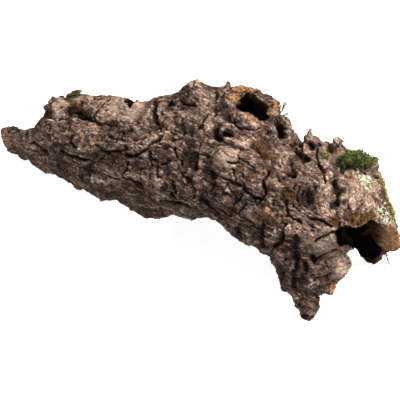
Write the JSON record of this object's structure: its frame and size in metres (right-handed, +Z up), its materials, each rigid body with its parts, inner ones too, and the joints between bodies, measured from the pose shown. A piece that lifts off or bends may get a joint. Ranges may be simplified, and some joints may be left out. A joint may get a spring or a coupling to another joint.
{
  "type": "cork bark slab",
  "caption": "Curled hollow length of cork oak bark, open underneath, with a broken branch collar, two legs, an open mouth, and moss and lichen growing on it.",
  "frame": {"origin": "middle of the bounding box, on the surface the slab stands on", "axes": "+X along the slab from its narrow tip to its open mouth, +Y from the near flank to the far flank, +Z up"},
  "size_m": [0.4506, 0.1396, 0.1646],
  "materials": {
    "cork_bark": "rough, deeply furrowed bark, grey-brown outside and tan where broken, dull",
    "moss_green": "tufted, soft, dull",
    "moss_olive": "tufted, dry at the tips, dull",
    "moss_brown": "dead, crumbly, dull",
    "lichen_pale": "crusty, lobed, dull",
    "lichen_thread": "thin branching threads, dull"
  },
  "bodies": {
    "root": {"bark": "cork_bark", "moss_cushion": "moss_green", "moss_mat_rim": "moss_olive", "moss_patch_tip": "moss_olive", "moss_dry_hollow": "moss_brown", "moss_tuft_collar": "moss_olive", "moss_dry_saddle": "moss_brown", "moss_dry_pocket": "moss_brown", "moss_dry_chip": "moss_brown", "moss_dry_mouth": "moss_brown", "moss_patch_knob": "moss_olive", "lichen_crust_hood": "lichen_pale", "lichen_crust_rim": "lichen_pale", "lichen_wisp_collar": "lichen_thread", "lichen_wisp_knob": "lichen_thread", "lichen_thread_mouth": "lichen_thread"}
  },
  "joints": []
}
